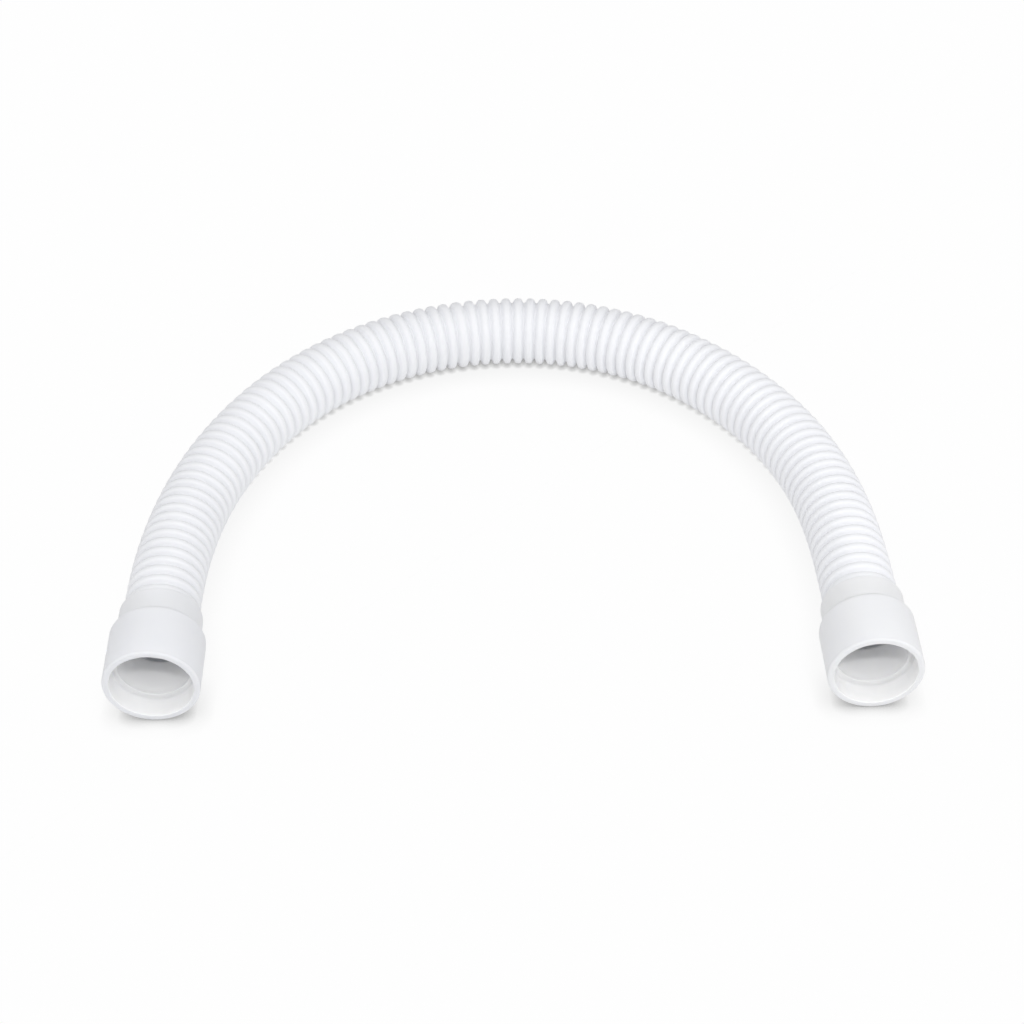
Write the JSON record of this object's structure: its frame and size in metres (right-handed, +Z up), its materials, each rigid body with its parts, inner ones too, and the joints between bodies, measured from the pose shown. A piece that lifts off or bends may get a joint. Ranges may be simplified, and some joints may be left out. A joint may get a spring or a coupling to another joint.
{
  "type": "flexible hose",
  "caption": "White corrugated flexible hose lying in a wide arch, with a stepped round socket cuff on each end to join two pipes.",
  "frame": {"origin": "middle of the bounding box's base, on the floor that the hose lies on", "axes": "+X across the arch, from the left cuff to the right one; +Y towards the arch's crown, with both mouths facing -Y; +Z up"},
  "size_m": [0.3906, 0.2998, 0.0466],
  "materials": {
    "hose": "semi-matte white blow-moulded plastic",
    "left_cuff": "satin white moulded plastic",
    "right_cuff": "satin white moulded plastic"
  },
  "bodies": {
    "root": {"hose": "hose", "left_cuff": "left_cuff", "right_cuff": "right_cuff"}
  },
  "joints": []
}
